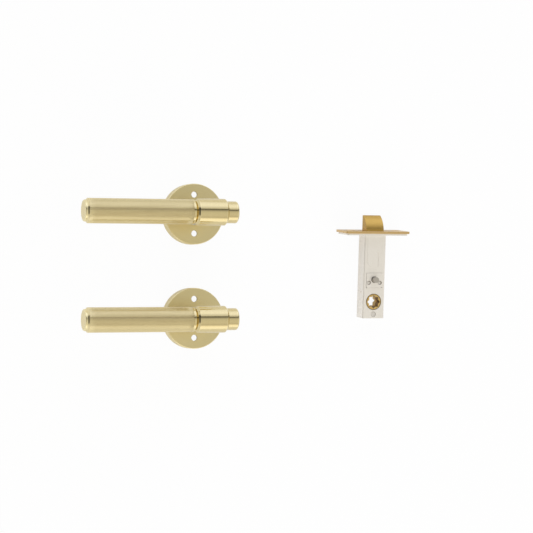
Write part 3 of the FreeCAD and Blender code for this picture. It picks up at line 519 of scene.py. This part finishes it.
def eased(corners, radii, steps):
    """Profile through (x, r) corners, each rounded by an arc that touches both its sides.

    The arc's middle lies on the corner's bisector at radius / sin(half angle). A support
    point stands each side of it, so that the flats stay flat. Gives the points and how
    rubbed each is: 1 on the arcs, 0 on the support points.
    """
    corners = np.array(corners, dtype=float)
    points, rubs = [corners[0]], [0.0]
    for before, corner, after, radius in zip(corners, corners[1:], corners[2:], radii):
        back, ahead = before - corner, after - corner
        back_length, ahead_length = np.linalg.norm(back), np.linalg.norm(ahead)
        back, ahead = back / back_length, ahead / ahead_length
        half = math.acos(float(back @ ahead)) / 2
        touch = radius / math.tan(half)
        bisector = (back + ahead) / np.linalg.norm(back + ahead)
        middle = corner + bisector * radius / math.sin(half)
        start, end = corner + back * touch - middle, corner + ahead * touch - middle
        sweep = math.pi - 2 * half
        share = np.linspace(0, 1, steps)[:, None]
        arc = middle + (
            start * np.sin((1 - share) * sweep) + end * np.sin(share * sweep)
        ) / math.sin(sweep)
        lead = corner + back * min(touch + SUPPORT, (touch + back_length) / 2)
        trail = corner + ahead * min(touch + SUPPORT, (touch + ahead_length) / 2)
        points += [lead, *arc, trail]
        rubs += [0.0] + [1.0] * steps + [0.0]
    points.append(corners[-1])
    rubs.append(0.0)
    return np.array(points), np.array(rubs)


def turned(name, profile, rubs, centre, around=AROUND, radius_at=None):
    """A closed skin turned about a line along X through centre = (y, z).

    The point (x, r) of the profile goes to (x, y + r cos t, z + r sin t) for t once
    round. radius_at(r, t) may pull the radius in. The profile starts and ends on the
    axis.
    """
    turn = np.linspace(0, 2 * math.pi, around, endpoint=False)
    inner = profile[1:-1]
    radius = np.repeat(inner[:, 1:], around, axis=1)
    if radius_at is not None:
        radius = radius_at(radius, turn[None, :])
    grid = np.stack(
        [
            np.repeat(inner[:, :1], around, axis=1),
            centre[0] + radius * np.cos(turn),
            centre[1] + radius * np.sin(turn),
        ],
        axis=-1,
    ).reshape(-1, 3)
    poles = np.array([[profile[i, 0], *centre] for i in (0, -1)])
    mesh = smooth_mesh(
        name, np.concatenate([grid, poles]), closed_faces(len(inner), around)
    )
    note(mesh, "rub", np.append(np.repeat(rubs[1:-1], around), [rubs[0], rubs[-1]]))
    return mesh


def reed_radius(radius, turn):
    """The radius under the reeds: 64 flat-backed reeds with a narrow valley between.

    With u from -1 to 1 across a reed, the depth is |u|^8 of the full depth.
    """
    across = 2 * ((turn * REEDS / (2 * math.pi) + 0.5) % 1.0) - 1
    reeds = CREST - REED_DEPTH * np.abs(across) ** REED_POWER
    return np.minimum(radius, np.broadcast_to(reeds, radius.shape))


def reeded_grip(unit):
    """The grip: a bevelled bar under reeds, which notes how deep each place lies."""
    centre = axis_of(f"{unit}_grip")
    start, end, radius = span(f"{unit}_grip")
    start -= GRIP_LEAD
    foot = radius - GRIP_BEVEL
    bevel = np.linspace(0, GRIP_BEVEL, GRIP_BEVEL_STEPS)
    straight = np.linspace(start + GRIP_BEVEL, end - GRIP_END_BEVEL, GRIP_LENGTH_STEPS)
    tip = [(start, 0.0), (start, foot - TIP_FACE_RING)]
    profile = np.array(
        tip
        + [(start + step, foot + step) for step in bevel]
        + [(x, radius) for x in straight[1:]]
        + [(end, radius - GRIP_END_BEVEL), (end, radius - END_FACE_RING), (end, 0.0)]
    )
    rubs = np.zeros(len(profile))
    rubs[len(tip):len(tip) + len(bevel)] = GRIP_BEVEL_RUB
    columns = REEDS * COLUMNS_PER_REED
    skin = turned(f"{unit}_grip_skin", profile, rubs, centre, columns, reed_radius)
    spots = np.empty(len(skin.vertices) * 3)
    skin.vertices.foreach_get("co", spots)
    x, y, z = spots.reshape(-1, 3).T
    sunk = (CREST - np.hypot(y - centre[0], z - centre[1])) / REED_DEPTH
    on_reeds = (x > start + VALLEY_START) & (x < end - VALLEY_STOP)
    note(skin, "valley", np.where(on_reeds, np.clip(sunk, 0.0, 1.0), 0.0))
    stand_in(skin, f"{unit}_grip", f"{unit}_lever")


def bar_piece(unit, part, outline, radii, steps=ROUND_STEPS):
    """A round piece of the bar from its (x, r) outline, rounded at its corners."""
    profile, rubs = eased(outline, radii, steps)
    skin = turned(f"{unit}_{part}_skin", profile, rubs, axis_of(f"{unit}_grip"))
    stand_in(skin, f"{unit}_{part}", f"{unit}_lever")


for unit in UNITS:
    reeded_grip(unit)

    start, end, radius = span(f"{unit}_grip_cap")
    plain = [(start, 0), (start, radius), (end, radius), (end, 0)]
    bar_piece(unit, "grip_cap", plain, CAP_ROUNDING, FULL_STEPS)

    start, end, radius = span(f"{unit}_ferrule")
    bevelled_end = [
        (start, 0),
        (start, radius),
        (end - BAR_BEVEL, radius),
        (end, radius - BAR_BEVEL),
        (end, 0),
    ]
    bar_piece(unit, "ferrule", bevelled_end, FERRULE_ROUNDING)

    start, end, _ = span(f"{unit}_collar")
    bevelled_ends = [
        (start, 0),
        (start, COLLAR_RADIUS - BAR_BEVEL),
        (start + BAR_BEVEL, COLLAR_RADIUS),
        (end - BAR_BEVEL, COLLAR_RADIUS),
        (end, COLLAR_RADIUS - BAR_BEVEL),
        (end, 0),
    ]
    bar_piece(unit, "collar", bevelled_ends, COLLAR_ROUNDING)

    start, end, radius = span(f"{unit}_end_button")
    plain = [(start, 0), (start, radius), (end, radius), (end, 0)]
    bar_piece(unit, "end_button", plain, BUTTON_ROUNDING, FULL_STEPS)


# Pieces whose edges are broken, as they leave the press or the lathe

MERGE_WITHIN = 1e-6
FLAT_WITHIN = 0.4
CRISP_FROM = 30.0
BROKEN_FROM = 35.0
BROKEN = (
    ("outside_rose", "set_base", 0.15 * MM),
    ("inside_rose", "set_base", 0.15 * MM),
    ("latch_faceplate", "set_base", 0.25 * MM),
    ("latch_backplate", "set_base", 0.15 * MM),
    ("latch_case_front", "set_base", 0.08 * MM),
    ("latch_privacy_plate", "set_base", 0.12 * MM),
    ("latch_tail_rivet", "set_base", 0.12 * MM),
    ("latch_bolt", "spring_bolt", 0.25 * MM),
    ("latch_hub", "spindle_hub", 0.12 * MM),
    ("latch_privacy_plunger", "privacy_pin", 0.1 * MM),
)


def edges_broken(node, body, width):
    """A copy of a CAD node with its sharp edges rounded over.

    Its triangles are merged where their corners meet, flat ones joined, and every edge
    between faces that turn by more than BROKEN_FROM degrees gets a narrow round bevel.
    """
    source = frame["nodes"][node].data
    places = np.empty(len(source.vertices) * 3)
    source.vertices.foreach_get("co", places)
    corners = np.empty(len(source.loops), dtype=np.int32)
    source.loops.foreach_get("vertex_index", corners)
    mesh = bpy.data.meshes.new(f"{node}_skin")
    mesh.from_pydata(
        places.reshape(-1, 3).tolist(), [], corners.reshape(-1, 3).tolist()
    )
    work = bmesh.new()
    work.from_mesh(mesh)
    bmesh.ops.remove_doubles(work, verts=work.verts, dist=MERGE_WITHIN)
    bmesh.ops.dissolve_limit(
        work, angle_limit=math.radians(FLAT_WITHIN), verts=work.verts, edges=work.edges
    )
    work.to_mesh(mesh)
    work.free()
    mesh.shade_smooth()
    mesh.set_sharp_from_angle(angle=math.radians(CRISP_FROM))
    bevel = stand_in(mesh, node, body).modifiers.new("broken_edges", "BEVEL")
    bevel.limit_method = "ANGLE"
    bevel.angle_limit = math.radians(BROKEN_FROM)
    bevel.width = width
    bevel.segments = 2
    bevel.use_clamp_overlap = False
    bevel.harden_normals = True


for node, body, width in BROKEN:
    edges_broken(node, body, width)


# Small pressed forms in the latch's shown face: the stake marks that hold the case in
# the backplate, and the floors of the two shallow recesses beside the plunger

STAKE_PITCH = 2.9 * MM
STAKE_HALF = (1.35 * MM, 1.25 * MM)
STAKE_RIM = 0.16 * MM
STAKE_RIM_AT = 0.78
STAKE_RIM_WIDTH = 0.13
STAKE_LIFT = 0.01 * MM
# Undersides are heights from the shown face
STAKE_UNDER = -0.3 * MM
# The backplate leans back with the latch. The case's shown face meets its underside
# about this far below its top edge, so by this times the slope further to +Y
BACKPLATE_RISE = 5.0 * MM
BACKPLATE_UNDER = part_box("latch_backplate")[0][1] + BACKPLATE_RISE * LATCH_SLOPE
STAKE_Y = BACKPLATE_UNDER - 0.1 * MM

RECESS_SPACING = 9.9 * MM
RECESS_TO_HUB = 15.55 * MM
RECESS_HALF = (1.83 * MM, 1.83 * MM)
RECESS_DEPTH = 0.45 * MM
RECESS_FALL = 0.6 * MM
RECESS_UNDER = -1.25 * MM

PRESSED_CRISP = 60.0


def pressed(name, middle, half, height, under, rings=14, around=36):
    """A small closed form set into the latch's shown face.

    At share r of the way out and angle t its top lies at middle + (a r cos t, b r sin t),
    height(r) above the face. Its underside is flat, at the height that under gives.
    """
    share = np.linspace(0, 1, rings + 1)[1:, None]
    angle = np.linspace(0, 2 * math.pi, around, endpoint=False)[None, :]
    x = middle[0] + half[0] * share * np.cos(angle)
    y = middle[1] + half[1] * share * np.sin(angle)
    face = CASE_TOP + (y - CASE_MOUTH) * LATCH_SLOPE
    top = np.stack([x, y, face + height(share)], axis=-1)
    bottom = np.stack([x[-1], y[-1], face[-1] + under], axis=-1)[None]
    level = CASE_TOP + (middle[1] - CASE_MOUTH) * LATCH_SLOPE
    poles = np.array([[*middle, level + height(0.0)], [*middle, level + under]])
    places = np.concatenate([np.concatenate([top, bottom]).reshape(-1, 3), poles])
    # This grid runs outwards and down, so its faces are turned over to look outwards
    faces = [face[:1] + face[:0:-1] for face in closed_faces(rings + 1, around)]
    mesh = smooth_mesh(f"{name}_skin", places, faces, PRESSED_CRISP)
    mesh.materials.append(finishes["nickel_steel"].material)
    piece = placed(name, mesh)
    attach(piece, "set_base")


def stake_height(share):
    """A rim of moved metal: rim times exp(-((r - at) / width)^2), plus the lift."""
    off = (share - STAKE_RIM_AT) / STAKE_RIM_WIDTH
    return STAKE_RIM * np.exp(-(off**2)) + STAKE_LIFT


def recess_height(share):
    """A floor below the face, domed: it falls towards its edge by fall times r^4."""
    return -RECESS_DEPTH - RECESS_FALL * share**4


for number, side in enumerate((-1, 0, 1), start=1):
    place = (LATCH_X + side * STAKE_PITCH, STAKE_Y)
    name = f"latch_stake_mark_{number}"
    pressed(name, place, STAKE_HALF, stake_height, STAKE_UNDER)
for number, side in enumerate((-1, 1), start=1):
    place = (LATCH_X + side * RECESS_SPACING / 2, HUB_Y + RECESS_TO_HUB)
    name = f"latch_recess_floor_{number}"
    pressed(name, place, RECESS_HALF, recess_height, RECESS_UNDER)


# The bolt's spring: round wire, wound at one fixed length, though the real spring
# shortens as the bolt goes in

SPRING_WIRE = 0.8 * MM
SPRING_TURNS = 5.0
SPRING_CRISP = 50.0


def wound(name, middle, axis, radius, length, wire, turns, stations=180, sides=12):
    """Round wire wound into an open coil, its ends closed.

    The wire's middle is at axis times length times (s - 1/2), plus radius times
    (side cos a + rise sin a), for s from 0 to 1 and a = 2 pi turns s. Its section is a
    circle square to that path.
    """
    share = np.linspace(0, 1, stations)[:, None]
    turn = 2 * math.pi * turns * share
    side = np.array([1.0, 0.0, 0.0])
    rise = np.cross(axis, side)
    out = side * np.cos(turn) + rise * np.sin(turn)
    around = rise * np.cos(turn) - side * np.sin(turn)
    path = middle + axis * length * (share - 0.5) + radius * out
    ahead = around * 2 * math.pi * turns * radius + axis * length
    ahead /= np.linalg.norm(ahead, axis=1)[:, None]
    up = np.cross(ahead, out)
    angle = np.linspace(0, 2 * math.pi, sides, endpoint=False)[None, :, None]
    ring = out[:, None] * np.cos(angle) + up[:, None] * np.sin(angle)
    skin = (path[:, None] + wire / 2 * ring).reshape(-1, 3)
    here, quads = grid_faces(stations, sides)
    ends = [here[0, ::-1].tolist(), here[-1].tolist()]
    return smooth_mesh(name, skin, quads + ends, SPRING_CRISP)


low, high = (np.array(corner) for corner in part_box("latch_bolt_spring"))
bolt_way = np.array([0.0, 1.0, LATCH_SLOPE]) / math.hypot(1.0, LATCH_SLOPE)
coil_middle = (low + high) / 2
coil_width = high[0] - low[0]
coil_length = (high[1] - low[1] - coil_width * bolt_way[2]) / bolt_way[1]
coil = wound(
    "bolt_spring_coil",
    coil_middle,
    bolt_way,
    (coil_width - SPRING_WIRE) / 2,
    coil_length - SPRING_WIRE,
    SPRING_WIRE,
    SPRING_TURNS,
)
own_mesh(stand_in(coil, "latch_bolt_spring", "set_base"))


# Floor, world and lamps

FLOOR_HALF = 4.0
FLOOR_DROP = -0.0002
FLOOR_WHITE = (0.96, 0.96, 0.96, 1.0)
# How much of the floor glows in the picture itself, and in the metal that mirrors it
CAMERA_GLOW = 0.95
MIRRORED_GLOW = 0.35


def white_ground():
    """A white floor that shows pure white away from the object's soft shadow."""
    material = bpy.data.materials.new("studio_floor")
    graph = Graph(material, "ShaderNodeOutputMaterial")
    in_metal = graph.node("ShaderNodeLightPath", out="Is Glossy Ray") * MIRRORED_GLOW
    in_picture = graph.node("ShaderNodeLightPath", out="Is Camera Ray") * CAMERA_GLOW
    diffuse = graph.node("ShaderNodeBsdfDiffuse", Color=FLOOR_WHITE)
    glow = graph.node("ShaderNodeEmission", Strength=1.0)
    share = in_picture + in_metal
    graph.show(graph.node("ShaderNodeMixShader", {}, share, diffuse, glow))
    return material


def make_floor():
    mesh = bpy.data.meshes.new("studio_floor")
    corners = [
        (sx * FLOOR_HALF, sy * FLOOR_HALF, FLOOR_DROP)
        for sx, sy in ((-1, -1), (1, -1), (1, 1), (-1, 1))
    ]
    mesh.from_pydata(corners, [], [(0, 1, 2, 3)])
    floor = placed("studio_floor", mesh)
    mesh.materials.append(white_ground())


make_floor()

# Studio walls by direction: (y of the direction, brightness) from the bottom of the
# picture, -1, to its top, +1. A dark card hangs above, on the picture's upper side.
WALLS = (
    (-1.0, 1.35),
    (-0.86, 1.38),
    (-0.78, 0.85),
    (-0.7, 0.68),
    (-0.55, 0.8),
    (-0.2, 0.78),
    (0.0, 0.72),
    (0.14, 0.56),
    (0.29, 0.18),
    (0.41, 0.18),
    (0.46, 0.8),
    (0.62, 0.95),
    (0.75, 1.25),
    (0.9, 1.25),
    (1.0, 1.05),
)
WALL_TOP = 1.5
# A dark card low on the grips' side: it shows only in the bevels that face it
CARD_X = (-0.72, -0.86)
CARD_Y = (0.42, 0.28)
CARD_DEPTH = 0.75
# Tints by the same direction: warm low walls, a cool wall beyond the dark card
TINTS = (
    (-0.95, (1.0, 0.99, 1.0)),
    (-0.8, (1.0, 0.95, 0.87)),
    (0.0, (1.0, 0.975, 0.9)),
    (0.42, (1.0, 0.99, 0.98)),
    (0.7, (0.97, 1.0, 1.14)),
)


def studio_world():
    """Pale studio walls: the brightness follows the direction along Y, and the card
    takes most of it away where the direction is far to -X and near the middle of Y."""
    world = bpy.data.worlds.new("studio_world")
    bpy.context.scene.world = world
    graph = Graph(world, "ShaderNodeOutputWorld")
    x, y, _ = graph.parts(graph.node("ShaderNodeTexCoord", out="Generated"))

    def ranged(value, start, end, low=0.0, high=1.0):
        """The value from start to end, brought to low to high and held there."""
        return graph.node("ShaderNodeMapRange", {}, value, start, end, low, high)

    def by_height(stops):
        """Colours along the direction's y, from (y, RGB) stops."""
        settings = {"stops": [((at + 1) / 2, (*color, 1.0)) for at, color in stops]}
        return graph.node("ShaderNodeValToRGB", settings, ranged(y, -1.0, 1.0))

    greys = by_height([(at, (level / WALL_TOP,) * 3) for at, level in WALLS])
    walls = ranged(greys, 0.0, 1.0, 0.0, WALL_TOP)
    card = ranged(x, *CARD_X) * ranged(abs(y), *CARD_Y)
    kept = ranged(card, 0.0, 1.0, 1.0, 1.0 - CARD_DEPTH)
    graph.show(
        graph.node(
            "ShaderNodeBackground", Color=by_height(TINTS), Strength=walls * kept
        )
    )


studio_world()


def aim(holder, target):
    """Point the object's -Z at a place, its Y as near to the picture's top as can be."""
    back = np.array(holder.location, dtype=float) - np.array(target, dtype=float)
    back /= np.linalg.norm(back)
    side = np.cross((0.0, 1.0, 0.0), back)
    side /= np.linalg.norm(side)
    up = np.cross(back, side)
    turn = Matrix(np.stack([side, up, back], axis=1))
    holder.rotation_mode = "QUATERNION"
    holder.rotation_quaternion = turn.to_quaternion()


# Soft rectangular lamps: name, place, width, height, watts
LAMPS = (
    ("low_softbox", (0.3, -1.3, 0.85), 1.8, 0.5, 6.0),
    ("high_softbox", (-0.2, 1.4, 0.55), 1.8, 0.4, 4.0),
)
LAMPS_FACE = (0, 0, 0.03)

for name, place, width, height, watts in LAMPS:
    lamp = bpy.data.lights.new(name, "AREA")
    lamp.shape = "RECTANGLE"
    lamp.size = width
    lamp.size_y = height
    lamp.energy = watts
    holder = placed(name, lamp)
    holder.location = place
    holder.visible_glossy = False
    aim(holder, LAMPS_FACE)

# Camera: the photograph looks down on the set, from the grips' side.
# The picture is 533 pixels wide; PIXEL is what one shows at the distance of AIM_AT.

PHOTO_PIXELS = 533
PIXEL = 0.8265 * MM
SENSOR = 36.0
LEAN_LEFT = math.radians(19.0)
LEAN_UP = math.radians(-0.53)
CAMERA_REACH = 1.6
AIM_AT = (0.0186, -0.0002, 0.02)

camera_data = bpy.data.cameras.new("camera")
camera_data.sensor_width = SENSOR
camera_data.lens = SENSOR * CAMERA_REACH / (PHOTO_PIXELS * PIXEL)
camera = placed("camera", camera_data)
camera.location = (
    AIM_AT[0] - CAMERA_REACH * math.sin(LEAN_LEFT) * math.cos(LEAN_UP),
    AIM_AT[1] + CAMERA_REACH * math.sin(LEAN_UP),
    AIM_AT[2] + CAMERA_REACH * math.cos(LEAN_LEFT) * math.cos(LEAN_UP),
)
aim(camera, AIM_AT)
bpy.context.scene.camera = camera
bpy.context.scene.view_settings.view_transform = "Standard"
